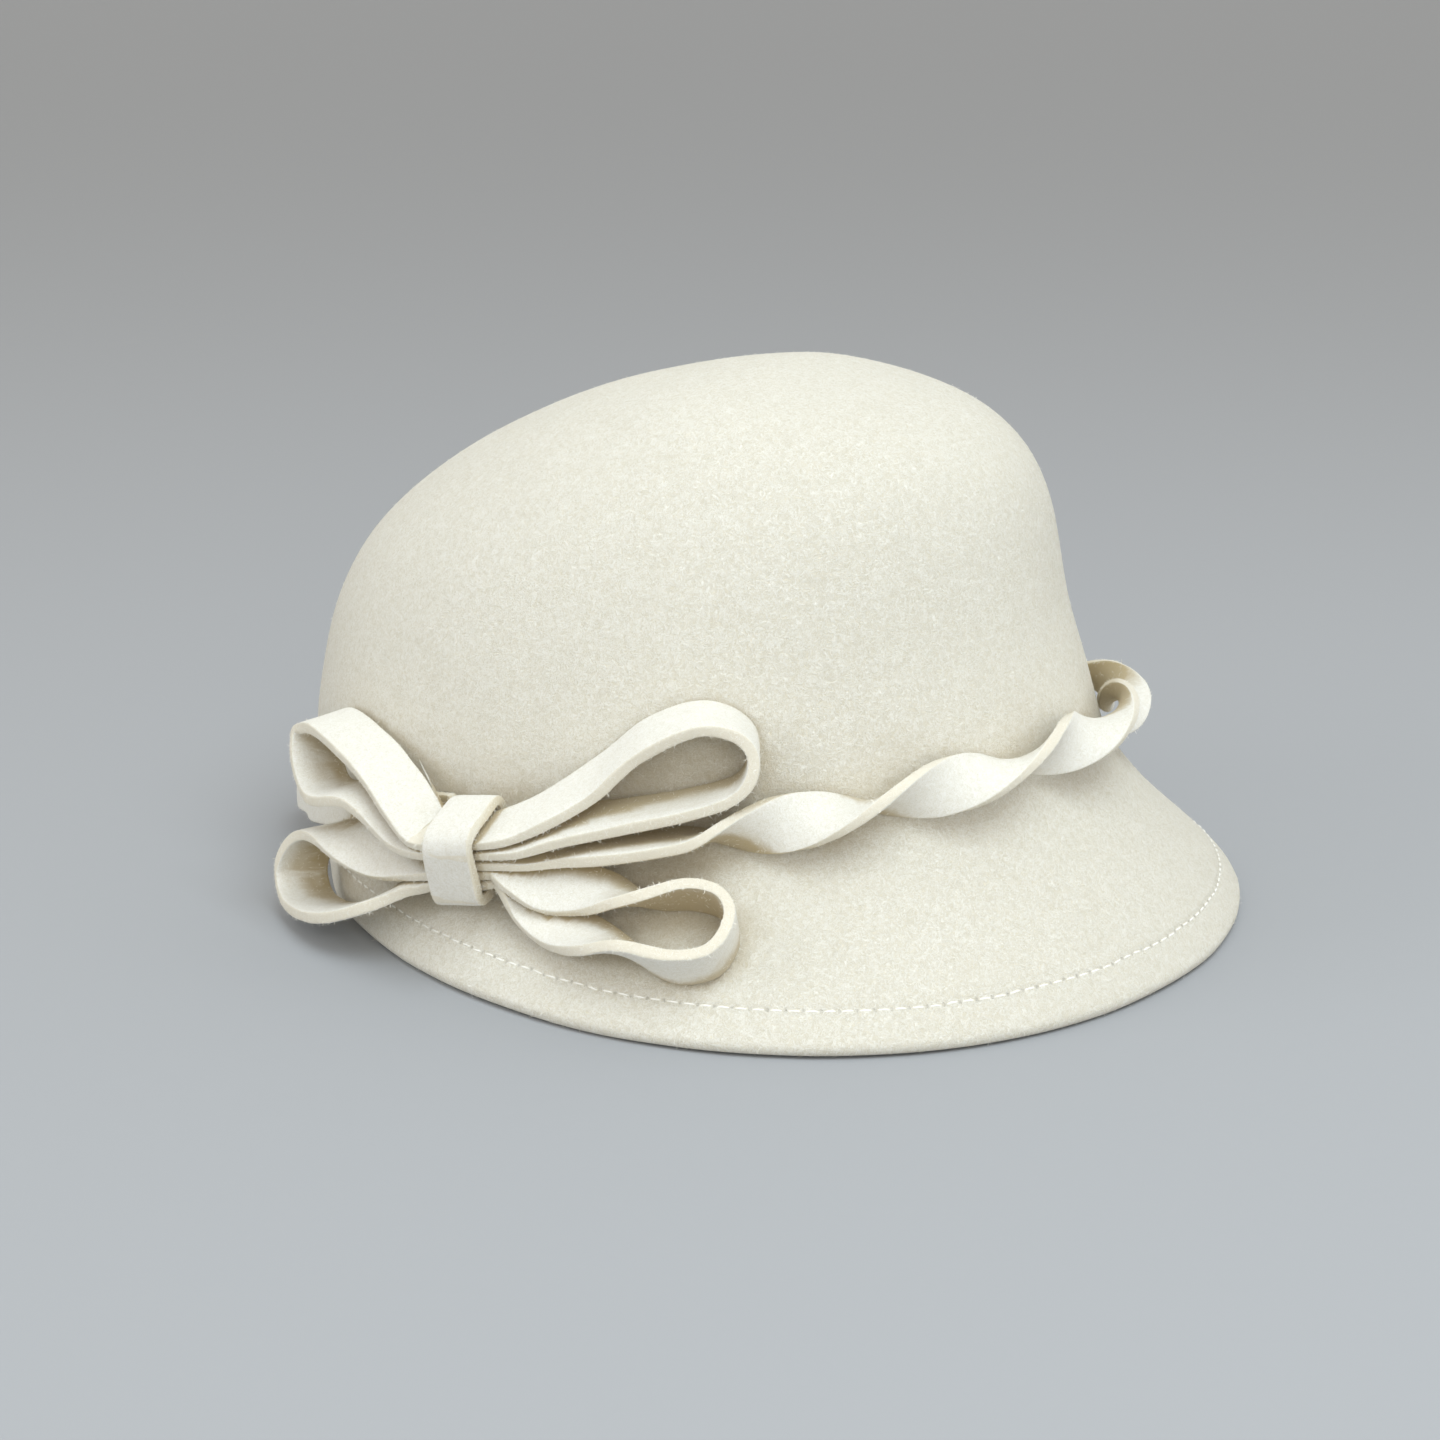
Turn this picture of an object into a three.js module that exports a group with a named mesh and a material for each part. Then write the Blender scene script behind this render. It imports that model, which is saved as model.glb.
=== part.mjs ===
// A felt cloche hat: crown and brim blocked from one piece of wool felt, a twisted felt band that lies in
// the crease between them, and a bow of four felt loops held by a knot on the wearer's right.
// Millimetres. +X is the front of the hat, +Y the wearer's left, +Z up, and the hat stands on its brim.
import * as THREE from "three";

// The hat body, measured outside the felt. Heights are above the surface that the hat stands on.
const headLength = 206;
const headWidth = 167;
const crownHeight = 135.2;
const tipForward = 27;
const creaseHeightFront = 54;
const creaseHeightSide = 30.5;
const creaseHeightBack = 17;
const feltThickness = 2.5;

// The brim, from the crease to the outside of its folded edge, and its hem.
const brimReachFront = 35.8;
const brimReachSide = 25.9;
const brimReachBack = -3.7;
const brimSplay = 0.15;
const brimEdgeFlare = THREE.MathUtils.degToRad(5);
const hemWidth = 10;
const hemPressed = 0.25;

// The felt strips of the band, the loops and the knot. The knot pinches the strips that go through it, and
// they fill out again over the fade beyond it.
const stripWidth = 13;
const stripThickness = 3;
const pinchedWidth = 12;
const pinchedThickness = 2.4;
const layerGap = 0.6;
const pinchFade = 16;
const knotExit = 2.6;
const bandStart = 13;
const bandEnd = 12.5;
const clearance = 0.35;

// The knot: where it lies round the crease and on the crown, how far it stands off and how it tilts, the
// strips that it holds and the room round them.
const knotAngle = THREE.MathUtils.degToRad(-91.7);
const knotLevel = 8.5;
const knotStandOff = 7.6;
const knotLean = -25;
const knotSlant = THREE.MathUtils.degToRad(16);
const knotCornerRadius = 3;
const knotEase = 1.05;
const stripsInKnot = 5;

// The reach of each loop along the crease, from the knot to its far end.
const frontUpperReach = 64;
const frontLowerReach = 50.5;
const backUpperReach = 60.5;
const backLowerReach = 75;

// The band is untwisted beside the knot and takes a half turn in each of these lengths after that.
const untwistedAhead = 48;
const untwistedBehind = 110;
const halfTwistLength = 32.5;

// How finely the solids are cut and the crease is measured.
const bodyColumns = 60;
const stepsBetweenRows = 2;
const bandSteps = 184;
const loopStepsBetweenRows = 3;
const knotSteps = 28;
const creaseStep = 4;
const creaseColumns = 720;

// Crown sections from just below the tip down to the crease. Rise is a share of the way from the crease up
// to the tip. The reaches are shares of the crease oval's own: front and back from the tip, side from the
// middle line.
const crownRows = [
  { rise: 0.95, front: 0.34, back: 0.279, side: 0.424 },
  { rise: 0.87, front: 0.613, back: 0.487, side: 0.592 },
  { rise: 0.75, front: 0.76, back: 0.698, side: 0.749 },
  { rise: 0.6, front: 0.828, back: 0.867, side: 0.867 },
  { rise: 0.45, front: 0.862, back: 0.954, side: 0.934 },
  { rise: 0.3, front: 0.895, back: 0.992, side: 0.972 },
  { rise: 0.15, front: 0.947, back: 1.011, side: 0.996 },
  { rise: 0, front: 1, back: 1, side: 1 },
];

// The brim between the crease and the hem: shares of its drop and of its reach, steep first and then flared.
const brimRows = [
  { drop: 0.22, out: 0.1 },
  { drop: 0.55, out: 0.42 },
  { drop: 1, out: 1 },
];

// The loops' strips in order from the knot round to the knot. Along and level are shares of the loop's reach,
// lean is in degrees up from straight out, and lift is a share of the strip's width. Turn is in degrees about
// the run, for a strip that shows more of its face.
const frontUpperRows = [
  { along: 0.22, level: 0.24, lean: -25, lift: 0.62 },
  { along: 0.31, level: 0.268, lean: -27, lift: 0.46 },
  { along: 0.46, level: 0.325, lean: -30, lift: 0.16 },
  { along: 0.64, level: 0.43, lean: -25, lift: 0.09 },
  { along: 0.845, level: 0.444, lean: -12, lift: 0.06 },
  { along: 0.965, level: 0.362, lean: -5, lift: 0.04 },
  { along: 0.995, level: 0.266, lean: -3, lift: 0.03 },
  { along: 0.94, level: 0.17, lean: -4, lift: 0.03 },
  { along: 0.78, level: 0.145, lean: -9, lift: 0.03 },
  { along: 0.565, level: 0.147, lean: -14, lift: 0.1 },
  { along: 0.336, level: 0.178, lean: -23, lift: 0.38 },
  { along: 0.22, level: 0.179, lean: -25, lift: 0.6 },
];
const frontLowerRows = [
  { along: 0.25, level: 0.115, lean: -33, lift: 0.7 },
  { along: 0.36, level: 0.1, lean: -42, lift: 0.8, turn: -6 },
  { along: 0.53, level: -0.045, lean: -25, lift: 0.5, turn: -8 },
  { along: 0.67, level: -0.245, lean: 25, lift: 0.04 },
  { along: 0.86, level: -0.275, lean: 43, lift: 0.02 },
  { along: 0.985, level: -0.325, lean: 45, lift: 0.02 },
  { along: 0.995, level: -0.4, lean: 45, lift: 0.02 },
  { along: 0.87, level: -0.485, lean: 45, lift: 0.02 },
  { along: 0.68, level: -0.477, lean: 45, lift: 0.02 },
  { along: 0.54, level: -0.39, lean: 28, lift: 0.05 },
  { along: 0.455, level: -0.28, lean: -7, lift: 0.24 },
  { along: 0.35, level: -0.15, lean: -31, lift: 0.45 },
  { along: 0.25, level: -0.063, lean: -33, lift: 0.455 },
];
const backUpperRows = [
  { along: 0.256, level: 0.302, lean: -24, lift: 0.56 },
  { along: 0.5, level: 0.4, lean: -18, lift: 0.2 },
  { along: 0.75, level: 0.47, lean: -12, lift: 0.08 },
  { along: 0.9, level: 0.49, lean: -10, lift: 0.06 },
  { along: 1, level: 0.436, lean: -8, lift: 0.06 },
  { along: 0.98, level: 0.35, lean: -6, lift: 0.1 },
  { along: 0.88, level: 0.25, lean: -6, lift: 0.2 },
  { along: 0.76, level: 0.222, lean: -8, lift: 0.3 },
  { along: 0.535, level: 0.263, lean: -12, lift: 0.3 },
  { along: 0.284, level: 0.2, lean: -24, lift: 0.54 },
];
const backLowerRows = [
  { along: 0.213, level: 0.1, lean: -33, lift: 0.56, turn: -8 },
  { along: 0.367, level: 0.12, lean: -38, lift: 0.64, turn: -16 },
  { along: 0.488, level: 0.095, lean: -25, lift: 0.5, turn: -12 },
  { along: 0.623, level: 0.052, lean: -8, lift: 0.33 },
  { along: 0.76, level: 0, lean: 0, lift: 0.3 },
  { along: 0.925, level: -0.07, lean: 0, lift: 0.25 },
  { along: 1, level: -0.137, lean: 0, lift: 0.22 },
  { along: 0.945, level: -0.2, lean: 0, lift: 0.2 },
  { along: 0.81, level: -0.203, lean: 0, lift: 0.2 },
  { along: 0.677, level: -0.17, lean: -2, lift: 0.2 },
  { along: 0.535, level: -0.124, lean: -6, lift: 0.22 },
  { along: 0.344, level: -0.067, lean: -16, lift: 0.32 },
  { along: 0.2, level: 0.03, lean: -32, lift: 0.46 },
];

// The band beside the knot, between the upper loops and the lower ones. Along is a share of its untwisted
// length on that side, level and lift are shares of the strip's width. Turn is in degrees about its run:
// behind the knot the band lies flat against the crown, under the loops, and its end is tucked up to the knot.
const bandAheadRows = [
  { along: 0, level: 0.65, lean: -25, lift: 0.55, turn: 0 },
  { along: 0.25, level: 0.54, lean: -25, lift: 0.44, turn: 0 },
  { along: 0.42, level: 0.25, lean: -16, lift: 0.11, turn: 0 },
  { along: 0.72, level: 0.17, lean: -10, lift: 0.16, turn: 0 },
  { along: 1, level: 0, lean: 0, lift: 0.02, turn: 0 },
];
const bandBehindRows = [
  { along: 0, level: 0.5, lean: 0, lift: -0.37, turn: -88 },
  { along: 0.6, level: 0.38, lean: 0, lift: -0.37, turn: -88 },
  { along: 0.85, level: 0.12, lean: 0, lift: -0.3, turn: -88 },
  { along: 1, level: 0, lean: 0, lift: 0.02, turn: -88 },
];

const up = new THREE.Vector3(0, 0, 1);

function creaseHeight(forward) {
  const share = forward / (headLength / 2);
  const lift = (creaseHeightFront - creaseHeightBack) / 2;
  const dip = (creaseHeightFront + creaseHeightBack) / 2 - creaseHeightSide;
  return creaseHeightSide + lift * share + dip * share * share;
}

// A point of the crown's outside, at an angle round the hat.
function crownPoint(angle, row) {
  const front = row.front * (headLength / 2 - tipForward);
  const back = row.back * (headLength / 2 + tipForward);
  const side = (row.side * headWidth) / 2;
  const forward = tipForward + (front - back) / 2 + (Math.cos(angle) * (front + back)) / 2;
  const height = (1 - row.rise) * creaseHeight(forward) + row.rise * crownHeight;
  return new THREE.Vector3(forward, side * Math.sin(angle), height);
}

function creasePoint(angle) {
  return crownPoint(angle, crownRows[crownRows.length - 1]);
}

// The level direction straight out from the crease.
function creaseOutward(angle) {
  return new THREE.Vector3(headWidth * Math.cos(angle), headLength * Math.sin(angle), 0).normalize();
}

// The brim's folded edge at an angle: the middle of the fold, the way down the brim and the way off its face.
function brimEdge(angle) {
  const front = headLength / 2 + brimReachFront - feltThickness;
  const back = headLength / 2 + brimReachBack - feltThickness;
  const side = headWidth / 2 + brimReachSide - feltThickness;
  const cos = Math.cos(angle);
  const sin = Math.sin(angle);
  const fold = new THREE.Vector3(
    (front - back) / 2 + (cos * (front + back)) / 2,
    side * sin * (1 + brimSplay * cos),
    feltThickness - hemPressed,
  );
  const outward = new THREE.Vector3(
    side * (cos + brimSplay * (cos * cos - sin * sin)),
    (sin * (front + back)) / 2,
    0,
  ).normalize();
  const crease = creasePoint(angle);
  const reach = fold.clone().sub(crease).dot(outward);
  const slope = Math.atan2(crease.z - fold.z, reach) - brimEdgeFlare;
  const down = outward.clone().multiplyScalar(Math.cos(slope)).addScaledVector(up, -Math.sin(slope));
  const face = outward.clone().multiplyScalar(Math.sin(slope)).addScaledVector(up, Math.cos(slope));
  return { fold, outward, down, face };
}

// Where the hem's stitching runs, on the brim's face.
function hemTop(angle) {
  const edge = brimEdge(angle);
  return edge.fold.clone().addScaledVector(edge.face, feltThickness).addScaledVector(edge.down, -hemWidth);
}

function brimPoint(angle, row) {
  const crease = creasePoint(angle);
  const hem = hemTop(angle);
  const flat = crease.clone().lerp(hem, row.out);
  flat.z = THREE.MathUtils.lerp(crease.z, hem.z, row.drop);
  return flat;
}

// One side of the hat from below the tip down to the hem.
function sidePoints(angle) {
  const crown = crownRows.map((row) => crownPoint(angle, row));
  const brim = brimRows.map((row) => brimPoint(angle, row));
  return [...crown, ...brim];
}

const tip = new THREE.Vector3(tipForward, 0, crownHeight);

// The smooth outside line from the tip down to the hem, part of the line right over the hat.
function outsideLine(angle) {
  const near = sidePoints(angle);
  const far = sidePoints(angle + Math.PI).reverse();
  const line = new THREE.CatmullRomCurve3([...far, tip, ...near], false, "centripetal");
  const steps = near.length * stepsBetweenRows;
  return Array.from({ length: steps }, (_, step) => line.getPoint(0.5 + (0.5 * (step + 1)) / steps));
}

// The outside lines all round, with the way off the felt's face at each of their points.
function outsideGrid() {
  const lines = Array.from({ length: bodyColumns }, (_, column) =>
    outsideLine((2 * Math.PI * column) / bodyColumns),
  );
  return lines.map((line, column) => {
    const before = lines[(column + bodyColumns - 1) % bodyColumns];
    const after = lines[(column + 1) % bodyColumns];
    return line.map((point, step) => {
      const above = step === 0 ? tip : line[step - 1];
      const below = line[Math.min(step + 1, line.length - 1)];
      const down = below.clone().sub(above);
      const around = after[step].clone().sub(before[step]);
      return { point, face: down.cross(around).normalize() };
    });
  });
}

// The fold's round outline from the brim's face under to the inside, pressed flat where it rests.
function foldArc(edge) {
  const at = (turn) =>
    edge.fold
      .clone()
      .addScaledVector(edge.outward, feltThickness * Math.cos(turn))
      .addScaledVector(up, feltThickness * Math.sin(turn));
  const start = Math.atan2(edge.face.z, edge.face.dot(edge.outward));
  const end = start - Math.PI;
  const halfFlat = Math.acos(edge.fold.z / feltThickness);
  const flatStart = -Math.PI / 2 + halfFlat;
  const flatEnd = -Math.PI / 2 - halfFlat;
  const outerTurns = [0, 1 / 3, 2 / 3, 1].map((share) => THREE.MathUtils.lerp(start, flatStart, share));
  const innerTurns = [0, 1 / 2, 1].map((share) => THREE.MathUtils.lerp(flatEnd, end, share));
  return [...outerTurns, ...innerTurns].map(at);
}

// Joins rings of points into one closed surface: each ring to the next, and the two ends to an apex each or,
// with no apexes, to each other.
function closedSurface(rings, apexes) {
  const sides = rings[0].length;
  const points = rings.flat();
  const faces = [];
  const joins = apexes ? rings.length - 1 : rings.length;
  for (let ring = 0; ring < joins; ring += 1) {
    const next = (ring + 1) % rings.length;
    for (let side = 0; side < sides; side += 1) {
      const other = (side + 1) % sides;
      const corners = [ring * sides + side, ring * sides + other, next * sides + other, next * sides + side];
      faces.push(corners[0], corners[2], corners[1], corners[0], corners[3], corners[2]);
    }
  }
  if (apexes) {
    const first = points.length;
    const last = (rings.length - 1) * sides;
    points.push(...apexes);
    for (let side = 0; side < sides; side += 1) {
      const other = (side + 1) % sides;
      faces.push(first, side, other, first + 1, last + other, last + side);
    }
  }
  const geometry = new THREE.BufferGeometry().setFromPoints(points);
  geometry.setIndex(faces);
  geometry.computeVertexNormals();
  return geometry;
}

// The crown, brim and hem: one sheet of felt, out from the tip, round the fold and back inside.
function hatBody() {
  const columns = outsideGrid().map((line, column) => {
    const edge = brimEdge((2 * Math.PI * column) / bodyColumns);
    const outside = line.map(({ point }) => point);
    const inside = line.map(({ point, face }) => point.clone().addScaledVector(face, -feltThickness));
    const hem = outside[outside.length - 1];
    const turnedUnder = hem.clone().addScaledVector(edge.face, -2 * feltThickness);
    return [...outside, ...foldArc(edge), turnedUnder, ...inside.reverse()];
  });
  const rings = columns[0].map((_, row) => columns.map((column) => column[row]));
  const insideTip = tip.clone().addScaledVector(up, -feltThickness);
  return closedSurface(rings, [tip, insideTip]);
}

// How fast the crease oval's angle turns at an angle, in radians for each millimetre along it.
function turnPerLength(angle) {
  return 2 / Math.hypot(headLength * Math.sin(angle), headWidth * Math.cos(angle));
}

// The angle reached by going a length along the crease from the knot, ahead when it is positive.
function angleAlong(length) {
  const steps = Math.ceil(Math.abs(length) / creaseStep);
  let angle = knotAngle;
  for (let step = 0; step < steps; step += 1) {
    const half = (length / steps / 2) * turnPerLength(angle);
    angle += (length / steps) * turnPerLength(angle + half);
  }
  return angle;
}

// A point of the felt's outside by its level: a height above the crease on the crown, or a drop below it on
// the brim.
function feltPoint(angle, level) {
  const crease = creasePoint(angle);
  if (level >= 0) {
    const rise = level / (crownHeight - crease.z);
    const upper = crownRows.findLastIndex((row) => row.rise >= rise);
    const lower = crownRows[upper + 1] ?? crownRows[upper];
    const span = crownRows[upper].rise - lower.rise || 1;
    const share = (crownRows[upper].rise - rise) / span;
    return crownPoint(angle, crownRows[upper]).lerp(crownPoint(angle, lower), share);
  }
  const hem = hemTop(angle);
  const drop = -level / (crease.z - hem.z);
  if (drop > 1) {
    const { down } = brimEdge(angle);
    return hem.addScaledVector(down, ((drop - 1) * (crease.z - hem.z)) / -down.z);
  }
  const rows = [{ drop: 0, out: 0 }, ...brimRows];
  const lower = rows.findIndex((row) => row.drop >= drop && row.drop > 0);
  const share = (drop - rows[lower - 1].drop) / (rows[lower].drop - rows[lower - 1].drop);
  return brimPoint(angle, rows[lower - 1]).lerp(brimPoint(angle, rows[lower]), share);
}

// The four corners of a strip at a middle point, given the ways of its width and of its run.
function stripCorners(middle, widthWay, runWay, { width, thickness }) {
  const thickWay = new THREE.Vector3().crossVectors(runWay, widthWay).normalize();
  const across = widthWay.clone().multiplyScalar(width / 2);
  const through = thickWay.multiplyScalar(thickness / 2);
  return [
    middle.clone().add(across).add(through),
    middle.clone().add(across).sub(through),
    middle.clone().sub(across).sub(through),
    middle.clone().sub(across).add(through),
  ];
}

// The way straight out from the crease at an angle, leaned up by degrees.
function leaningWay(angle, lean) {
  const leaning = THREE.MathUtils.degToRad(lean);
  return creaseOutward(angle)
    .multiplyScalar(Math.cos(leaning))
    .addScaledVector(up, Math.sin(leaning));
}

// A strip where it stands on the felt, at a length along the crease and a level on the felt: leaned up from
// straight out, its inner edge lifted off the felt, and turned about its run.
function stripPlace({ along, level, lean, lift, turn = 0 }) {
  const angle = angleAlong(along);
  const reach = stripWidth / 2 + clearance + lift;
  const middle = feltPoint(angle, level).addScaledVector(leaningWay(angle, lean), reach);
  return { middle, way: leaningWay(angle, lean + turn) };
}

// The knot's middle, the strips' run along the crease there, the way up through their stack and the way out.
const knotPlace = stripPlace({ along: 0, level: knotLevel, lean: knotLean, lift: knotStandOff });
const knotRun = creasePoint(angleAlong(1)).sub(creasePoint(angleAlong(-1))).normalize();
const knotRise = new THREE.Vector3().crossVectors(knotPlace.way, knotRun).normalize();
const knotOut = new THREE.Vector3().crossVectors(knotRun, knotRise);
const knotLayer = pinchedThickness + layerGap;

// A strip where it leaves its end in the knot: straight through in its layer to just outside.
function placesInKnot(direction, layer) {
  const distances = [clearance / 2, stripWidth / 4, stripWidth / 2 + knotExit];
  return distances.map((distance) => ({
    middle: knotPlace.middle
      .clone()
      .addScaledVector(knotRun, direction * distance)
      .addScaledVector(knotRise, layer * knotLayer),
    way: knotOut,
  }));
}

// The knot pinches a strip inside it, and the felt fills out again beyond it.
function sectionAt(middle) {
  const past = middle.distanceTo(knotPlace.middle) - stripWidth / 2;
  const filledOut = THREE.MathUtils.smoothstep(past, 0, pinchFade);
  return {
    width: THREE.MathUtils.lerp(pinchedWidth, stripWidth, filledOut),
    thickness: THREE.MathUtils.lerp(pinchedThickness, stripThickness, filledOut),
  };
}

// A strip through places in order, closed at both ends.
function feltStrip(places, stepsBetween) {
  const middles = new THREE.CatmullRomCurve3(places.map(({ middle }) => middle), false, "centripetal");
  const ways = new THREE.CatmullRomCurve3(places.map(({ way }) => way), false, "catmullrom");
  const steps = (places.length - 1) * stepsBetween;
  const rings = Array.from({ length: steps + 1 }, (_, step) => {
    const middle = middles.getPoint(step / steps);
    const run = middles.getTangent(step / steps);
    const way = ways.getPoint(step / steps);
    way.addScaledVector(run, -way.dot(run)).normalize();
    return stripCorners(middle, way, run, sectionAt(middle));
  });
  return closedSurface(rings, [middles.getPoint(0), middles.getPoint(1)]);
}

// A loop: the strip stands on edge along the felt, out of the knot and back into it in the next layer.
function bowLoop({ reach, direction, layers, rows }) {
  const out = placesInKnot(direction, layers[0]);
  const back = placesInKnot(direction, layers[1]).reverse();
  const free = rows.map((row) =>
    stripPlace({
      along: direction * row.along * reach,
      level: row.level * reach,
      lean: row.lean,
      lift: row.lift * stripWidth,
      turn: row.turn,
    }),
  );
  return feltStrip([...out, ...free, ...back], loopStepsBetweenRows);
}

// The length of the crease right round the hat.
function creaseLength() {
  const points = Array.from({ length: creaseColumns }, (_, column) =>
    creasePoint((2 * Math.PI * column) / creaseColumns).setZ(0),
  );
  const steps = points.map((point, column) => point.distanceTo(points[(column + 1) % creaseColumns]));
  return steps.reduce((sum, step) => sum + step, 0);
}

// A value of a table's column at a share along it, eased between its rows.
function tableValue(rows, column, along) {
  const next = Math.max(1, rows.findIndex((row) => row.along >= along));
  const before = rows[next - 1];
  const after = rows[next];
  const share = THREE.MathUtils.smoothstep(along, before.along, after.along);
  return THREE.MathUtils.lerp(before[column], after[column], share);
}

// The band: from the knot ahead round the crown and back to the knot from behind.
function twistedBand() {
  const whole = creaseLength();
  const twisted = whole - untwistedAhead - untwistedBehind;
  const halfTurns = Math.round(twisted / halfTwistLength);
  const flatTurn = bandBehindRows[bandBehindRows.length - 1].turn;
  const free = Array.from({ length: bandSteps + 1 }, (_, step) => {
    const along = THREE.MathUtils.lerp(bandStart, whole - bandEnd, step / bandSteps);
    const ahead = along < whole / 2;
    const rows = ahead ? bandAheadRows : bandBehindRows;
    const share = Math.min(ahead ? along / untwistedAhead : (whole - along) / untwistedBehind, 1);
    const turned = THREE.MathUtils.clamp((along - untwistedAhead) / twisted, 0, 1);
    const twist = turned * (halfTurns * 180 + flatTurn);
    return stripPlace({
      along: ahead ? along : along - whole,
      level: tableValue(rows, "level", share) * stripWidth,
      lean: tableValue(rows, "lean", share),
      lift: tableValue(rows, "lift", share) * stripWidth,
      turn: turned < 1 ? twist : halfTurns * 180 + tableValue(rows, "turn", share),
    });
  });
  return feltStrip([...placesInKnot(1, 0), ...free], 1);
}

// The knot: one more turn of the strip round those that go through it, slanted along the crease.
function bowKnot() {
  const halfDepth = stripWidth / 2 + clearance + stripThickness / 2;
  const stack = stripsInKnot * pinchedThickness + (stripsInKnot - 1) * layerGap;
  const halfHeight = (stack + stripThickness) / 2 + knotEase;
  const outline = new THREE.Shape();
  const corners = [
    [halfDepth, halfHeight, 0],
    [-halfDepth, halfHeight, 1],
    [-halfDepth, -halfHeight, 2],
    [halfDepth, -halfHeight, 3],
  ];
  corners.forEach(([out, high, quarter]) => {
    const x = out - Math.sign(out) * knotCornerRadius;
    const y = high - Math.sign(high) * knotCornerRadius;
    outline.absarc(x, y, knotCornerRadius, (quarter * Math.PI) / 2, ((quarter + 1) * Math.PI) / 2);
  });
  outline.closePath();
  const rings = Array.from({ length: knotSteps }, (_, step) => {
    const share = step / knotSteps;
    const { x, y } = outline.getPointAt(share);
    const tangent = outline.getTangentAt(share);
    const middle = knotPlace.middle
      .clone()
      .addScaledVector(knotOut, x)
      .addScaledVector(knotRise, y)
      .addScaledVector(knotRun, y * Math.tan(knotSlant));
    const wrapRun = knotOut.clone().multiplyScalar(tangent.x).addScaledVector(knotRise, tangent.y);
    return stripCorners(middle, knotRun, wrapRun, { width: stripWidth, thickness: stripThickness });
  });
  return closedSurface(rings);
}

// The colour and finish of the cream wool felt, and of the cut strips, which are a little warmer.
const bodyFelt = new THREE.MeshStandardMaterial({ color: 0xf0e9da, roughness: 0.95, metalness: 0 });

const hat = new THREE.Group();

const body = new THREE.Mesh(hatBody(), bodyFelt);
body.name = "felt_body";
hat.add(body);

const stripFelt = new THREE.MeshStandardMaterial({ color: 0xf3ecdd, roughness: 0.95, metalness: 0 });

const pieces = {
  twist_band: twistedBand(),
  bow_loop_front_upper: bowLoop({
    reach: frontUpperReach,
    direction: 1,
    layers: [2, 1],
    rows: frontUpperRows,
  }),
  bow_loop_front_lower: bowLoop({
    reach: frontLowerReach,
    direction: 1,
    layers: [-1, -2],
    rows: frontLowerRows,
  }),
  bow_loop_back_upper: bowLoop({
    reach: backUpperReach,
    direction: -1,
    layers: [2, 1],
    rows: backUpperRows,
  }),
  bow_loop_back_lower: bowLoop({
    reach: backLowerReach,
    direction: -1,
    layers: [-1, -2],
    rows: backLowerRows,
  }),
  bow_knot: bowKnot(),
};

Object.entries(pieces).forEach(([name, geometry]) => {
  const piece = new THREE.Mesh(geometry, stripFelt);
  piece.name = name;
  hat.add(piece);
});

// The hat is placed with the middle of its box over the origin.
const middle = new THREE.Box3().setFromObject(hat, true).getCenter(new THREE.Vector3());
hat.position.set(-middle.x, -middle.y, 0);

export default hat;
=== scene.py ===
import math

import bpy
import numpy as np
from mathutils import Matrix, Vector
from mathutils.bvhtree import BVHTree


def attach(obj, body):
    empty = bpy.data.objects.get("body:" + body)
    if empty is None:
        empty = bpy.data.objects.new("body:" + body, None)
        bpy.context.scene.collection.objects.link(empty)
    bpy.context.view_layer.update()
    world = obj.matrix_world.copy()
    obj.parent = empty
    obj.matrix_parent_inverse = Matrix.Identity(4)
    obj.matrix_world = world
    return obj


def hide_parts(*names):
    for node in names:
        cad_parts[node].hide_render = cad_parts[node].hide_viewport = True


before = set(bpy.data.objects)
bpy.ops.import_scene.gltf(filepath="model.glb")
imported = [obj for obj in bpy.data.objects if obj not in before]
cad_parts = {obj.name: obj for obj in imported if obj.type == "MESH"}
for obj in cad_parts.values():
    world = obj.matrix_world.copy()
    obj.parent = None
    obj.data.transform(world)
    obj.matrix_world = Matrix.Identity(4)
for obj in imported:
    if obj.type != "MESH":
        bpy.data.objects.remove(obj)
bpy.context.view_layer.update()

# The hat stands on its brim with the front turned to the right. The camera is above the height of the crown
# and looks down a little at the wearer's right side and front.
camera_place = Vector((0.3372, -0.5942, 0.2375))
camera_target = Vector((-0.0072, 0.0023, 0.04))
camera_lens = 70
camera_sensor = 36

bpy.ops.object.select_all(action="DESELECT")
camera_turn = (camera_target - camera_place).to_track_quat("-Z", "Y").to_euler()
bpy.ops.object.camera_add(location=camera_place, rotation=camera_turn)
camera = bpy.context.active_object
camera.name = "camera"
camera.data.lens = camera_lens
camera.data.sensor_width = camera_sensor
bpy.context.scene.camera = camera
bpy.context.scene.view_settings.view_transform = "Standard"

# The hat's body is one hood of cream wool felt, blocked over a form into a rounded crown and a flared brim.
# The felt is about 2.5 mm thick, matted from short curly fibres, and the brim's edge is turned under.
body_cream = (0.83, 0.778, 0.64)
body_white = (0.975, 0.955, 0.875)
body_shade = (0.73, 0.675, 0.53)
# Painted shade: a warm brown that the felt turns to in hollows, creases and under the bow, where less light
# reaches.
painted_hollow_shade = (0.48, 0.37, 0.18)

# Points closer than this are one point, and triangles that fold less than this become a square.
merge_distance = 0.00001
join_angle = math.radians(70)


def link(tree, start, end):
    """Joins one node's outlet to another's inlet."""
    tree.links.new(start, end)


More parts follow.
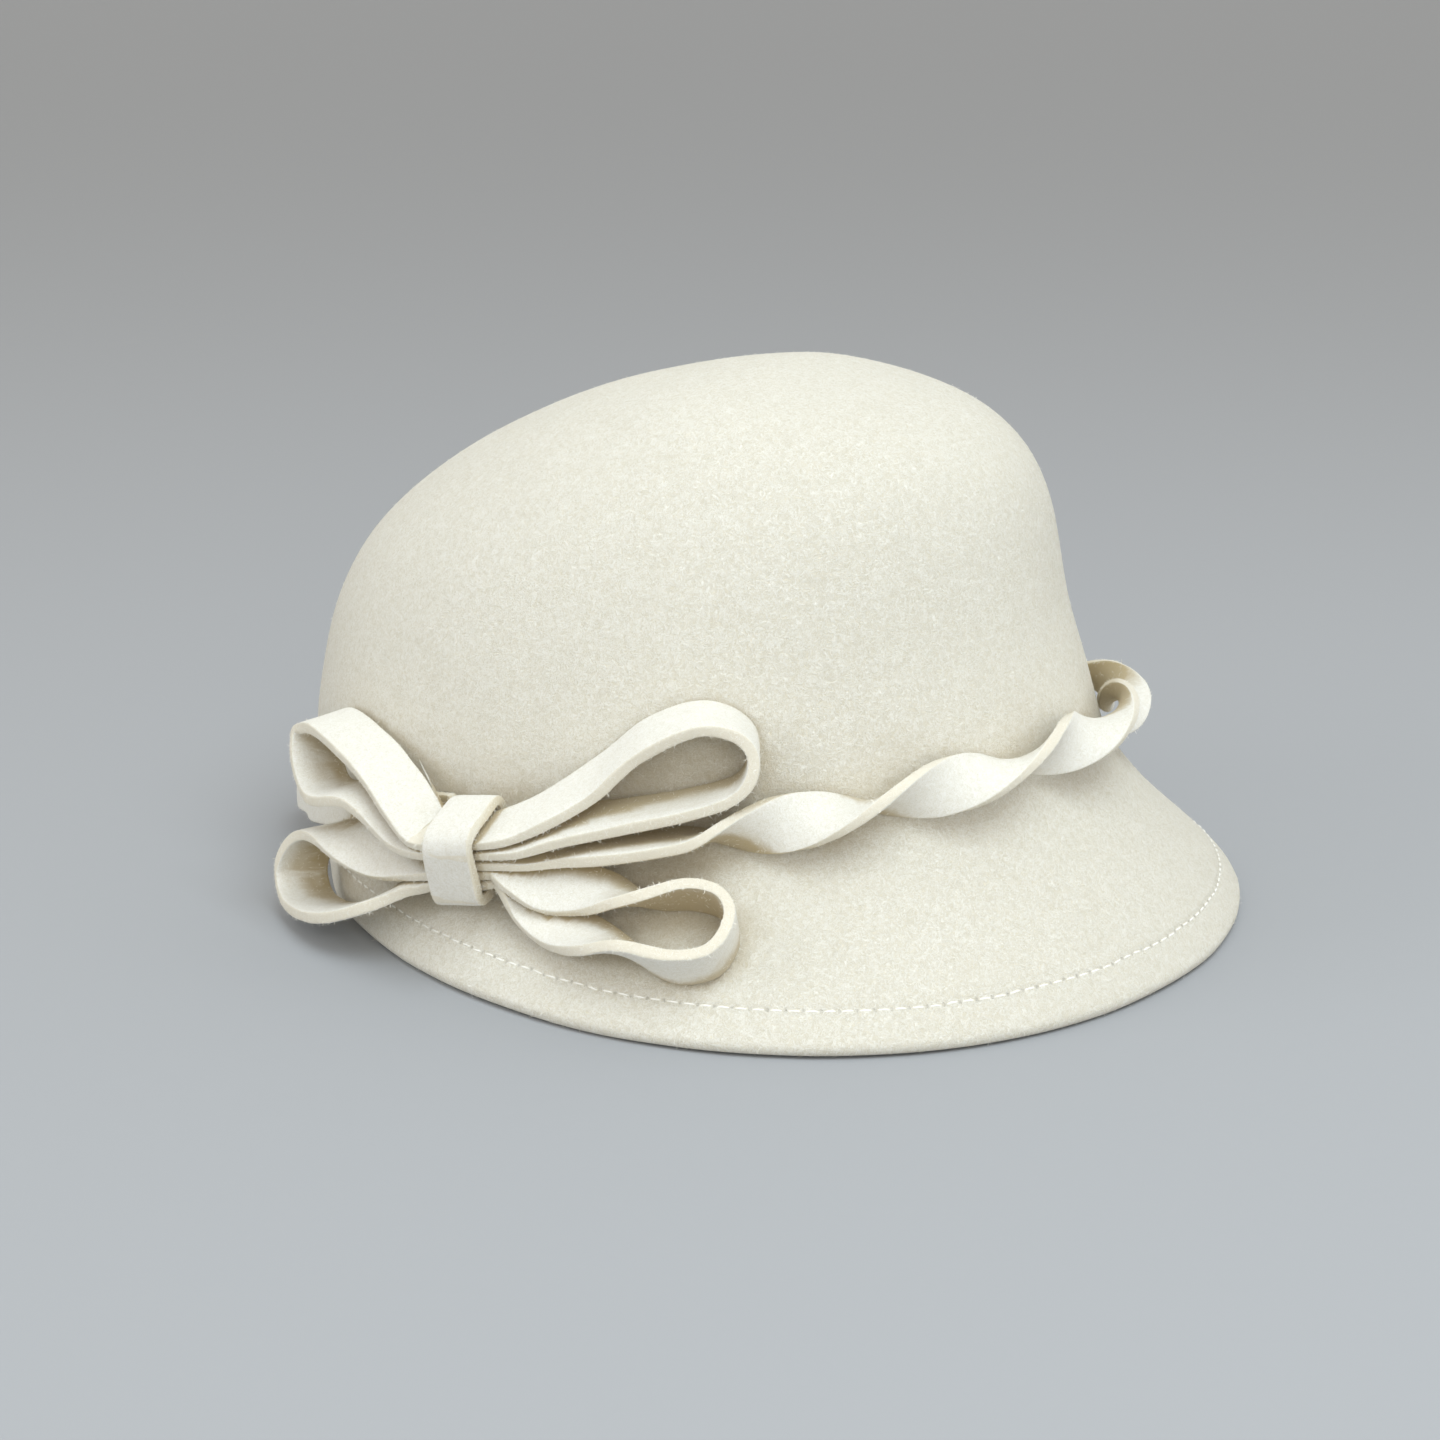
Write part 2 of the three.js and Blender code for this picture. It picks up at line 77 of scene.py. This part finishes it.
def felt_copy(name, node):
    """A new piece from a CAD node's shape, with its doubles merged and its triangles joined into squares."""
    bpy.ops.object.select_all(action="DESELECT")
    piece = bpy.data.objects.new(name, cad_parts[node].data.copy())
    bpy.context.collection.objects.link(piece)
    piece.select_set(True)
    bpy.context.view_layer.objects.active = piece
    bpy.ops.object.mode_set(mode="EDIT")
    bpy.ops.mesh.select_all(action="SELECT")
    bpy.ops.mesh.remove_doubles(threshold=merge_distance)
    bpy.ops.mesh.tris_convert_to_quads(face_threshold=join_angle, shape_threshold=join_angle)
    bpy.ops.mesh.select_all(action="DESELECT")
    bpy.ops.object.mode_set(mode="OBJECT")
    if "custom_normal" in piece.data.attributes:
        piece.data.attributes.remove(piece.data.attributes["custom_normal"])
    return piece


def soften(piece, levels):
    """Smooths a piece with a subdivision surface."""
    smooth = piece.modifiers.new("smooth", "SUBSURF")
    smooth.levels = levels
    smooth.render_levels = levels
    bpy.ops.object.modifier_apply(modifier=smooth.name)


def ruffle(piece, size, height):
    """Gives a piece the slight unevenness of hand-shaped felt."""
    clouds = bpy.data.textures.new(piece.name + "_unevenness", "CLOUDS")
    clouds.noise_scale = size
    clouds.noise_depth = 1
    uneven = piece.modifiers.new("uneven", "DISPLACE")
    uneven.texture = clouds
    uneven.texture_coords = "LOCAL"
    uneven.strength = height
    uneven.mid_level = 0.5
    bpy.ops.object.modifier_apply(modifier=uneven.name)


def calculated(tree, operation, first, second=None):
    """What a math node gives for two values, each a socket or a plain number."""
    node = tree.nodes.new("ShaderNodeMath")
    node.operation = operation
    for value, inlet in zip((first, second), node.inputs):
        if isinstance(value, (int, float)):
            inlet.default_value = value
        elif value is not None:
            link(tree, value, inlet)
    return node.outputs[0]


def socket(group, name, way):
    """A number that a node group takes in or gives out."""
    group.interface.new_socket(name=name, in_out=way, socket_type="NodeSocketFloat")


# Each layer of fibres has its fineness against the first one's, and how far it is curled.
fibre_layers = ((1, 1.6), (1.7, 2.2), (2.9, 2.8))
fibre_width = 0.08
fibre_cover = 0.5
mottle_fineness = 1.2


def fibre_group():
    """Matted wool: thin curly fibres over a softer mottle, as two masks and a height."""
    group = bpy.data.node_groups.new("wool_fibres", "ShaderNodeTree")
    socket(group, "Fineness", "INPUT")
    socket(group, "Fibres", "OUTPUT")
    socket(group, "Mottle", "OUTPUT")
    socket(group, "Height", "OUTPUT")
    inlet = group.nodes.new("NodeGroupInput")
    outlet = group.nodes.new("NodeGroupOutput")
    place = group.nodes.new("ShaderNodeTexCoord")
    total = 0
    for fineness, curl in fibre_layers:
        noise = group.nodes.new("ShaderNodeTexNoise")
        noise.inputs["Detail"].default_value = 2
        noise.inputs["Distortion"].default_value = curl
        link(group, place.outputs["Object"], noise.inputs["Vector"])
        link(group, calculated(group, "MULTIPLY", inlet.outputs["Fineness"], fineness), noise.inputs["Scale"])
        off_middle = calculated(group, "SUBTRACT", noise.outputs["Fac"], 0.5)
        thin = group.nodes.new("ShaderNodeMapRange")
        thin.inputs["From Min"].default_value = 0
        thin.inputs["From Max"].default_value = fibre_width
        thin.inputs["To Min"].default_value = 1
        thin.inputs["To Max"].default_value = 0
        link(group, calculated(group, "ABSOLUTE", off_middle), thin.inputs["Value"])
        total = calculated(group, "ADD", total, thin.outputs["Result"])
    fibres = calculated(group, "MINIMUM", calculated(group, "MULTIPLY", total, fibre_cover), 1)
    link(group, fibres, outlet.inputs["Fibres"])
    mottle = group.nodes.new("ShaderNodeTexNoise")
    mottle.inputs["Detail"].default_value = 4
    mottle.inputs["Roughness"].default_value = 0.6
    link(group, place.outputs["Object"], mottle.inputs["Vector"])
    mottle_scale = calculated(group, "MULTIPLY", inlet.outputs["Fineness"], mottle_fineness)
    link(group, mottle_scale, mottle.inputs["Scale"])
    link(group, mottle.outputs["Fac"], outlet.inputs["Mottle"])
    link(group, calculated(group, "ADD", fibres, mottle.outputs["Fac"]), outlet.inputs["Height"])
    return group


wool_fibres = fibre_group()

# Nearly all of a noise texture's values lie between these.
noise_low = 0.3
noise_high = 0.7

# Where a mix node has its share, its two colours and the colour it gives.
share_inlet = 0
colour_inlets = (6, 7)
colour_outlet = 2


def mixed(tree, share, first, second):
    """A colour that goes from the first to the second with a share."""
    mix = tree.nodes.new("ShaderNodeMix")
    mix.data_type = "RGBA"
    link(tree, share, mix.inputs[share_inlet])
    for colour, number in zip((first, second), colour_inlets):
        if isinstance(colour, tuple):
            mix.inputs[number].default_value = (*colour, 1)
        else:
            link(tree, colour, mix.inputs[number])
    return mix.outputs[colour_outlet]


def ranged(tree, value, low, high, start=0.0, end=1.0):
    """A value taken from one range to another, held at its ends."""
    node = tree.nodes.new("ShaderNodeMapRange")
    node.interpolation_type = "SMOOTHSTEP"
    node.inputs["From Min"].default_value = low
    node.inputs["From Max"].default_value = high
    node.inputs["To Min"].default_value = start
    node.inputs["To Max"].default_value = end
    link(tree, value, node.inputs["Value"])
    return node.outputs["Result"]


fibre_height = 0.0006
fibre_roughness = 0.82

# Painted shade: felt turns to the painted hollow shade between these two shares of blocked ways out.
painted_shade_low = 0.35
painted_shade_high = 0.75


def felt_material(name, shade, cream, white, fineness, relief, painted_shade_share):
    """Matt wool felt. Returns the material, its tree, its colour, its relief and its shader."""
    material = bpy.data.materials.new(name)
    material.use_nodes = True
    tree = material.node_tree
    shader = tree.nodes["Principled BSDF"]
    shader.inputs["Specular IOR Level"].default_value = 0.25
    shader.inputs["Sheen Weight"].default_value = 0.35
    shader.inputs["Sheen Roughness"].default_value = 0.6
    shader.inputs["Sheen Tint"].default_value = (1, 0.97, 0.9, 1)
    fibres = tree.nodes.new("ShaderNodeGroup")
    fibres.node_tree = wool_fibres
    fibres.inputs["Fineness"].default_value = fineness
    ground = mixed(tree, ranged(tree, fibres.outputs["Mottle"], noise_low, noise_high), shade, cream)
    open_colour = mixed(tree, fibres.outputs["Fibres"], ground, white)
    # The colour turns to a painted warm shade where nearby felt blocks the ways out of a point.
    blocked_share_node = tree.nodes.new("ShaderNodeAttribute")
    blocked_share_node.attribute_name = "shade_occlusion"
    painted_shade_mask = ranged(tree, blocked_share_node.outputs["Fac"], painted_shade_low, painted_shade_high, end=painted_shade_share)
    colour = mixed(tree, painted_shade_mask, open_colour, painted_hollow_shade)
    rough = ranged(tree, fibres.outputs["Fibres"], 0, 1, 1, fibre_roughness)
    link(tree, rough, shader.inputs["Roughness"])
    bump = tree.nodes.new("ShaderNodeBump")
    bump.inputs["Strength"].default_value = relief
    bump.inputs["Distance"].default_value = fibre_height
    link(tree, fibres.outputs["Height"], bump.inputs["Height"])
    link(tree, bump.outputs["Normal"], shader.inputs["Normal"])
    link(tree, colour, shader.inputs["Base Color"])
    return material, tree, colour, bump, shader


def dress(piece, material, node):
    """Gives a finished piece its material and puts it in its CAD node's place."""
    piece.data.materials.clear()
    piece.data.materials.append(material)
    bpy.ops.object.select_all(action="DESELECT")
    piece.select_set(True)
    bpy.context.view_layer.objects.active = piece
    bpy.ops.object.shade_smooth()
    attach(piece, "root")
    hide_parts(node)


body = felt_copy("felt_hood", "felt_body")
soften(body, levels=2)
ruffle(body, size=0.04, height=0.0009)


def hem_line(piece, gauge, count):
    """Points on the outside of a piece at a gauge's length up from the middle of its edge, all round."""
    tree = BVHTree.FromObject(piece, bpy.context.evaluated_depsgraph_get())
    edge_middle = 0.0024
    step = 0.00025
    reach = 0.4
    line = []
    for number in range(count):
        angle = 2 * math.pi * number / count
        way = Vector((math.cos(angle), math.sin(angle), 0))
        height = edge_middle
        walked = 0
        before = None
        while walked < gauge:
            start = way * reach + Vector((0, 0, height))
            point, normal, _, _ = tree.ray_cast(start, -way)
            if before is not None:
                walked += (point - before).length
            before = point
            height += step
        line.append((point, normal))
    return line


hem_gauge = 0.0086
stitch_pitch = 0.0039
hem = hem_line(body, hem_gauge, count=240)
hem_steps = [(hem[(n + 1) % len(hem)][0] - point).length for n, (point, _) in enumerate(hem)]
hem_length = sum(hem_steps)
stitch_count = round(hem_length / stitch_pitch)


def hem_map(piece):
    """A UV map of the hem: stitches along it, and metres from the stitching line across it."""
    along = np.concatenate([[0], np.cumsum(hem_steps)]) / hem_length * stitch_count
    turns = np.linspace(0, 2 * math.pi, len(hem) + 1)
    places = np.array([point for point, _ in hem] + [hem[0][0]])
    count = len(piece.data.vertices)
    spots = np.empty(count * 3, np.float32)
    piece.data.vertices.foreach_get("co", spots)
    spots = spots.reshape(-1, 3)
    angles = np.mod(np.arctan2(spots[:, 1], spots[:, 0]), 2 * math.pi)
    nearest = np.stack([np.interp(angles, turns, places[:, axis]) for axis in range(3)], axis=1)
    away = np.linalg.norm(spots - nearest, axis=1)
    side = np.where(spots[:, 2] < nearest[:, 2], 1, -1)
    across = away * side
    travel = np.interp(angles, turns, along)
    corners = np.empty(len(piece.data.loops), np.int32)
    piece.data.loops.foreach_get("vertex_index", corners)
    values = np.stack([travel[corners], across[corners]], axis=1)
    for face in piece.data.polygons:
        run = slice(face.loop_start, face.loop_start + face.loop_total)
        if np.ptp(values[run, 0]) > stitch_count / 2:
            values[run, 0] += np.where(values[run, 0] < stitch_count / 2, stitch_count, 0)
    layer = piece.data.uv_layers.new(name="hem")
    layer.data.foreach_set("uv", values.astype(np.float32).ravel())


hem_map(body)

# The hood's creases get a weaker painted shade than the strips' loops.
body_felt, tree, colour, bump, shader = felt_material(
    "body_felt", body_shade, body_cream, body_white, fineness=560, relief=0.6, painted_shade_share=0.35
)

# Along the hem the thread presses a groove into the felt, with a small pit at each end of a stitch. The pits
# are also painted darker: painted shade in the small holes.
groove_half = 0.0015
pit_half = 0.0006
pit_share_of_stitch = 0.15
pressed_depth = 0.0003
pit_painted_share = 0.3
pit_painted_shade = (0.5, 0.46, 0.38)

hem_uv = tree.nodes.new("ShaderNodeUVMap")
hem_uv.uv_map = "hem"
split = tree.nodes.new("ShaderNodeSeparateXYZ")
link(tree, hem_uv.outputs["UV"], split.inputs[0])
off_line = calculated(tree, "ABSOLUTE", split.outputs["Y"])
from_hole = calculated(tree, "PINGPONG", calculated(tree, "FRACT", split.outputs["X"]), 0.5)
groove = ranged(tree, off_line, 0, groove_half, 1, 0)
pit_along = ranged(tree, from_hole, 0, pit_share_of_stitch, 1, 0)
pit_across = ranged(tree, off_line, 0, pit_half, 1, 0)
pit = calculated(tree, "MULTIPLY", pit_along, pit_across)
pressed = tree.nodes.new("ShaderNodeBump")
pressed.inputs["Strength"].default_value = 1
pressed.inputs["Distance"].default_value = pressed_depth
pressed.invert = True
link(tree, calculated(tree, "ADD", groove, pit), pressed.inputs["Height"])
link(tree, pressed.outputs["Normal"], bump.inputs["Normal"])
# Painted shade: the pits darken the felt's colour.
darkened = mixed(tree, ranged(tree, pit, 0, 1, end=pit_painted_share), colour, pit_painted_shade)
link(tree, darkened, shader.inputs["Base Color"])
dress(body, body_felt, "felt_body")

loose_white = (0.99, 0.985, 0.95)


def nap_material():
    """Single loose wool fibres, paler than the felt under them."""
    material = bpy.data.materials.new("loose_wool")
    material.use_nodes = True
    tree = material.node_tree
    shader = tree.nodes["Principled BSDF"]
    shader.inputs["Specular IOR Level"].default_value = 0.2
    shader.inputs["Sheen Weight"].default_value = 0.3
    place = tree.nodes.new("ShaderNodeTexCoord")
    noise = tree.nodes.new("ShaderNodeTexNoise")
    noise.inputs["Scale"].default_value = 300
    link(tree, place.outputs["Object"], noise.inputs["Vector"])
    link(tree, mixed(tree, noise.outputs["Fac"], body_cream, loose_white), shader.inputs["Base Color"])
    link(tree, ranged(tree, noise.outputs["Fac"], noise_low, noise_high, 0.8, 1), shader.inputs["Roughness"])
    return material


loose_wool = nap_material()

# A loose fibre's half width, how deep its root is, how far it strays to the side, how much its length and its
# lift vary, and the shares of its length from the root to the middle, the elbow and the tip.
fibre_half = 0.000055
root_depth = 0.0001
fibre_stray = 0.45
length_range = (0.5, 1.5)
lift_range = (0.3, 1.7)
to_middle = 0.4
to_elbow = 0.35
to_tip = 0.3

# Towards its tip a fibre narrows, rises less, runs on less and curls back more.
elbow_narrowing = 0.8
elbow_rise = 0.6
tip_rise = 0.2
tip_run = 0.6
tip_curl = 1.5


def nap(piece, count, length, lift, seed, bias=None):
    """Scatters loose fibres over a piece. Each is a thin ribbon of two bends that narrows to a point."""
    random = np.random.default_rng(seed)
    mesh = piece.data
    mesh.calc_loop_triangles()
    spots = np.empty(len(mesh.vertices) * 3, np.float32)
    mesh.vertices.foreach_get("co", spots)
    spots = spots.reshape(-1, 3).astype(float)
    normals = np.empty(len(mesh.vertices) * 3, np.float32)
    mesh.vertices.foreach_get("normal", normals)
    normals = normals.reshape(-1, 3).astype(float)
    faces = np.empty(len(mesh.loop_triangles) * 3, np.int32)
    mesh.loop_triangles.foreach_get("vertices", faces)
    faces = faces.reshape(-1, 3)
    first, second, third = (spots[faces[:, corner]] for corner in range(3))
    area = np.linalg.norm(np.cross(second - first, third - first), axis=1)
    if bias is not None:
        area = area * bias[faces].mean(axis=1)
    chosen = faces[random.choice(len(faces), count, p=area / area.sum())]
    share = random.dirichlet((1, 1, 1), count)
    root = np.einsum("ij,ijk->ik", share, spots[chosen])
    up = np.einsum("ij,ijk->ik", share, normals[chosen])
    up /= np.linalg.norm(up, axis=1, keepdims=True)
    wild = random.normal(size=(count, 3))
    flat = wild - up * np.sum(wild * up, axis=1, keepdims=True)
    flat /= np.linalg.norm(flat, axis=1, keepdims=True)
    across = np.cross(up, flat)
    size = length * random.uniform(*length_range, (count, 1))
    rise = lift * random.uniform(*lift_range, (count, 1))
    curl = random.normal(0, fibre_stray, (count, 1))
    bend = random.normal(0, fibre_stray, (count, 1))
    root = root - up * root_depth
    middle = root + size * to_middle * (flat + up * rise + across * curl)
    elbow = middle + size * to_elbow * (flat + up * rise * elbow_rise + across * bend)
    tip = elbow + size * to_tip * (flat * tip_run + up * rise * tip_rise - across * curl * tip_curl)
    side = across * fibre_half
    bend_side = side * elbow_narrowing
    points = np.stack(
        [root - side, root + side, middle - side, middle + side, elbow - bend_side, elbow + bend_side, tip],
        axis=1,
    )
    points[..., 2] = np.maximum(points[..., 2], 0)
    pattern = [(0, 1, 3), (0, 3, 2), (2, 3, 5), (2, 5, 4), (4, 5, 6)]
    base = np.arange(count)[:, None, None] * points.shape[1]
    triangles = (base + np.array(pattern)[None]).reshape(-1, 3)
    wool = bpy.data.meshes.new(piece.name + "_nap")
    wool.from_pydata(points.reshape(-1, 3).tolist(), [], triangles.tolist())
    wool.materials.append(loose_wool)
    fuzz = bpy.data.objects.new(piece.name + "_nap", wool)
    bpy.context.collection.objects.link(fuzz)
    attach(fuzz, "root")


nap(body, count=36000, length=0.0014, lift=0.25, seed=11)

# The hem is the brim's own felt, turned under and sewn through with one row of short ivory stitches. Each
# stitch lies in the groove that the thread pulls, and its ends dive into the felt.
thread_ivory = (0.98, 0.975, 0.93)
thread_shade = (0.9, 0.88, 0.8)
stitch_length = 0.0032
thread_width = 0.0005
stitch_arch = 0.00022
stitch_depth = 0.0002

bpy.ops.object.select_all(action="DESELECT")
bpy.ops.mesh.primitive_uv_sphere_add(segments=8, ring_count=6, radius=0.5)
stitch = bpy.context.active_object
bpy.ops.object.mode_set(mode="EDIT")
bpy.ops.mesh.select_all(action="SELECT")
bpy.ops.transform.resize(value=(stitch_length, thread_width, thread_width))
bpy.ops.object.mode_set(mode="OBJECT")
stitch_shape = np.array([vertex.co for vertex in stitch.data.vertices])
stitch_faces = [tuple(face.vertices) for face in stitch.data.polygons]
bpy.data.objects.remove(stitch)


def hem_place(turn):
    """The point, the way along and the way out of the felt at a share of the way round the hem."""
    spot = turn * len(hem)
    low = int(spot) % len(hem)
    high = (low + 1) % len(hem)
    share = spot - int(spot)
    point = hem[low][0].lerp(hem[high][0], share)
    out = hem[low][1].lerp(hem[high][1], share).normalized()
    along = (hem[high][0] - hem[low][0]).normalized()
    return point, along, out


hem_shares = np.concatenate([[0], np.cumsum(hem_steps)]) / hem_length
stitch_points = []
stitch_squares = []
for number in range(stitch_count):
    turn = float(np.interp((number + 0.5) / stitch_count, hem_shares, np.linspace(0, 1, len(hem) + 1)))
    point, along, out = hem_place(turn)
    side = out.cross(along).normalized()
    out = along.cross(side)
    first = len(stitch_points)
    for x, y, z in stitch_shape:
        arch = stitch_arch * (1 - (2 * x / stitch_length) ** 2) - stitch_depth
        stitch_points.append(point + along * x + side * y + out * (z + arch))
    stitch_squares.extend(tuple(first + corner for corner in face) for face in stitch_faces)
stitch_mesh = bpy.data.meshes.new("hem_stitches")
stitch_mesh.from_pydata(stitch_points, [], stitch_squares)
stitches = bpy.data.objects.new("hem_stitches", stitch_mesh)
bpy.context.collection.objects.link(stitches)

thread = bpy.data.materials.new("ivory_thread")
thread.use_nodes = True
tree = thread.node_tree
shader = tree.nodes["Principled BSDF"]
shader.inputs["Specular IOR Level"].default_value = 0.35
shader.inputs["Sheen Weight"].default_value = 0.2
place = tree.nodes.new("ShaderNodeTexCoord")
twist = tree.nodes.new("ShaderNodeTexNoise")
twist.inputs["Scale"].default_value = 2600
link(tree, place.outputs["Object"], twist.inputs["Vector"])
link(tree, mixed(tree, twist.outputs["Fac"], thread_shade, thread_ivory), shader.inputs["Base Color"])
link(tree, ranged(tree, twist.outputs["Fac"], noise_low, noise_high, 0.6, 0.8), shader.inputs["Roughness"])
strands = tree.nodes.new("ShaderNodeBump")
strands.inputs["Strength"].default_value = 0.5
strands.inputs["Distance"].default_value = 0.0001
link(tree, twist.outputs["Fac"], strands.inputs["Height"])
link(tree, strands.outputs["Normal"], shader.inputs["Normal"])
stitch_mesh.materials.append(thread)
bpy.ops.object.select_all(action="DESELECT")
stitches.select_set(True)
bpy.context.view_layer.objects.active = stitches
bpy.ops.object.shade_smooth()
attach(stitches, "root")

# The band is a strip of thicker felt, cut 13 mm wide, that lies in the crease and is twisted along itself. It
# runs from the knot round the crown and back under the rear loops. Its cut edges are creamier and fluffier.
strip_cream = (0.82, 0.79, 0.70)
strip_white = (0.92, 0.91, 0.86)
strip_shade = (0.75, 0.715, 0.61)
edge_cream = (0.80, 0.73, 0.57)
edge_round = 0.0006
sharp_angle = math.radians(55)
widest_cut_side = 0.009
cut_low = 0.25
cut_high = 0.9
edge_share = 0.6
face_fuzz = 0.35
edge_fuzz = 1.6


def round_edges(piece):
    """Bevels the long edges where a strip's faces meet its cut sides."""
    bpy.ops.object.mode_set(mode="EDIT")
    bpy.ops.mesh.select_mode(type="EDGE")
    bpy.ops.mesh.select_all(action="DESELECT")
    bpy.ops.mesh.edges_select_sharp(sharpness=sharp_angle)
    bpy.ops.mesh.bevel(offset=edge_round, segments=2, affect="EDGES")
    bpy.ops.mesh.select_all(action="DESELECT")
    bpy.ops.object.mode_set(mode="OBJECT")


def cut_sides(piece, plain):
    """A value at each of a piece's points: 1 on the strip's narrow cut sides and 0 on its faces."""
    tree = BVHTree.FromPolygons(
        [vertex.co for vertex in plain.vertices], [tuple(face.vertices) for face in plain.polygons]
    )
    narrow = []
    for face in plain.polygons:
        corners = [plain.vertices[corner].co for corner in face.vertices]
        sides = [(corners[n] - corners[n - 1]).length for n in range(len(corners))]
        if len(sides) == 4:
            narrow.append(max((sides[0] + sides[2]) / 2, (sides[1] + sides[3]) / 2) < widest_cut_side)
        else:
            narrow.append(True)
    values = np.zeros(len(piece.data.vertices), np.float32)
    for vertex in piece.data.vertices:
        _, _, face, _ = tree.find_nearest(vertex.co)
        values[vertex.index] = 1.0 if narrow[face] else 0.0
    attribute = piece.data.attributes.new("cut_side", "FLOAT", "POINT")
    attribute.data.foreach_set("value", values)
    return values


def strip_material():
    """The strips' felt: smoother than the body's on its faces and creamier on its cut sides."""
    # The strips' loops and folds get a strong painted shade.
    material, tree, colour, _, shader = felt_material(
        "strip_felt", strip_shade, strip_cream, strip_white, fineness=700, relief=0.4, painted_shade_share=0.9
    )
    cut = tree.nodes.new("ShaderNodeAttribute")
    cut.attribute_name = "cut_side"
    side = ranged(tree, cut.outputs["Fac"], cut_low, cut_high, end=edge_share)
    link(tree, mixed(tree, side, colour, edge_cream), shader.inputs["Base Color"])
    return material


strip_felt = strip_material()


def felt_strip(name, node, seed, fibres):
    """A strip's piece: rounded along its cut edges, smoothed, slightly uneven and napped."""
    piece = felt_copy(name, node)
    plain = piece.data.copy()
    round_edges(piece)
    soften(piece, levels=2)
    sides = cut_sides(piece, plain)
    ruffle(piece, size=0.012, height=0.0006)
    bpy.data.meshes.remove(plain)
    dress(piece, strip_felt, node)
    bias = face_fuzz + edge_fuzz * sides
    nap(piece, fibres, length=0.0011, lift=0.3, seed=seed, bias=bias)
    return piece


felt_pieces = [body, felt_strip("twisted_band", "twist_band", seed=21, fibres=9000)]

# The bow is four loops of the same strip. Each stands on its edge on the felt, comes out of the knot, turns
# over and goes back in, and the two in front are longer above and splay onto the brim below.
for number, node in enumerate(
    ("bow_loop_front_upper", "bow_loop_front_lower", "bow_loop_back_upper", "bow_loop_back_lower")
):
    felt_pieces.append(felt_strip(node.replace("bow_", "felt_"), node, seed=31 + number, fibres=3000))

# The knot is one more short strip, wrapped tightly round the loops and the band. It holds the bow together.
felt_pieces.append(felt_strip("felt_knot", "bow_knot", seed=41, fibres=1600))

# A point's ways out start this far off it and are pulled towards the way straight out.
way_start = 0.0006
way_pull = 1.02


def shade_occlusion(pieces, reach, ray_count, seed):
    """Marks each point with the share of the ways out of it that felt nearby blocks. The felt's colour gets a
    painted warm shade there.
    """
    points = []
    faces = []
    for piece in pieces:
        first = len(points)
        points.extend(vertex.co.copy() for vertex in piece.data.vertices)
        faces.extend([first + corner for corner in face.vertices] for face in piece.data.polygons)
    tree = BVHTree.FromPolygons(points, faces)
    random = np.random.default_rng(seed)
    wild = random.normal(size=(ray_count, 3))
    ways = [Vector(way).normalized() for way in wild]
    for piece in pieces:
        values = np.zeros(len(piece.data.vertices), np.float32)
        for vertex in piece.data.vertices:
            normal = vertex.normal
            start = vertex.co + normal * way_start
            blocked = 0
            for way in ways:
                point, _, _, _ = tree.ray_cast(start, normal * way_pull + way, reach)
                blocked += point is not None
            values[vertex.index] = blocked / ray_count
        attribute = piece.data.attributes.new("shade_occlusion", "FLOAT", "POINT")
        attribute.data.foreach_set("value", values)


# Painted shade: the blocked shares make the felt darker and warmer in hollows, under the bow and in the
# crease.
shade_occlusion(felt_pieces, reach=0.035, ray_count=20, seed=5)

# The hat stands on a plain pale floor in soft studio light: a large softbox high on the right in front, a
# lower one in front, a weak one on the left, and a pale room.
floor_size = 80
floor_drop = 0.0002
light_target = Vector((0, 0, 0.05))
bpy.ops.object.select_all(action="DESELECT")
bpy.ops.mesh.primitive_plane_add(size=floor_size, location=(0, 0, -floor_drop))
floor = bpy.context.active_object
floor.name = "floor"
floor_paint = bpy.data.materials.new("floor_paint")
floor_paint.use_nodes = True
floor_shader = floor_paint.node_tree.nodes["Principled BSDF"]
floor_shader.inputs["Base Color"].default_value = (0.375, 0.387, 0.407, 1)
floor_shader.inputs["Roughness"].default_value = 0.9
floor.data.materials.append(floor_paint)


def softbox(name, place, size, power, colour):
    """A square light that is turned to the hat."""
    bpy.ops.object.select_all(action="DESELECT")
    turn = (light_target - Vector(place)).to_track_quat("-Z", "Y").to_euler()
    bpy.ops.object.light_add(type="AREA", location=place, rotation=turn)
    light = bpy.context.active_object
    light.name = name
    light.data.size = size
    light.data.energy = power
    light.data.color = colour


softbox("key_light", (0.6, -0.4, 1.2), size=0.8, power=11, colour=(0.82, 0.93, 1))
softbox("fill_light", (1.1, -1.4, 0.6), size=1.0, power=7, colour=(1, 0.99, 0.96))
softbox("side_light", (-1.1, -1.1, 0.6), size=1.0, power=4.5, colour=(0.97, 0.99, 1))

room = bpy.data.worlds.new("pale_room")
bpy.context.scene.world = room
room.use_nodes = True
background = room.node_tree.nodes["Background"]
background.inputs["Color"].default_value = (1, 0.98, 0.93, 1)
background.inputs["Strength"].default_value = 0.76
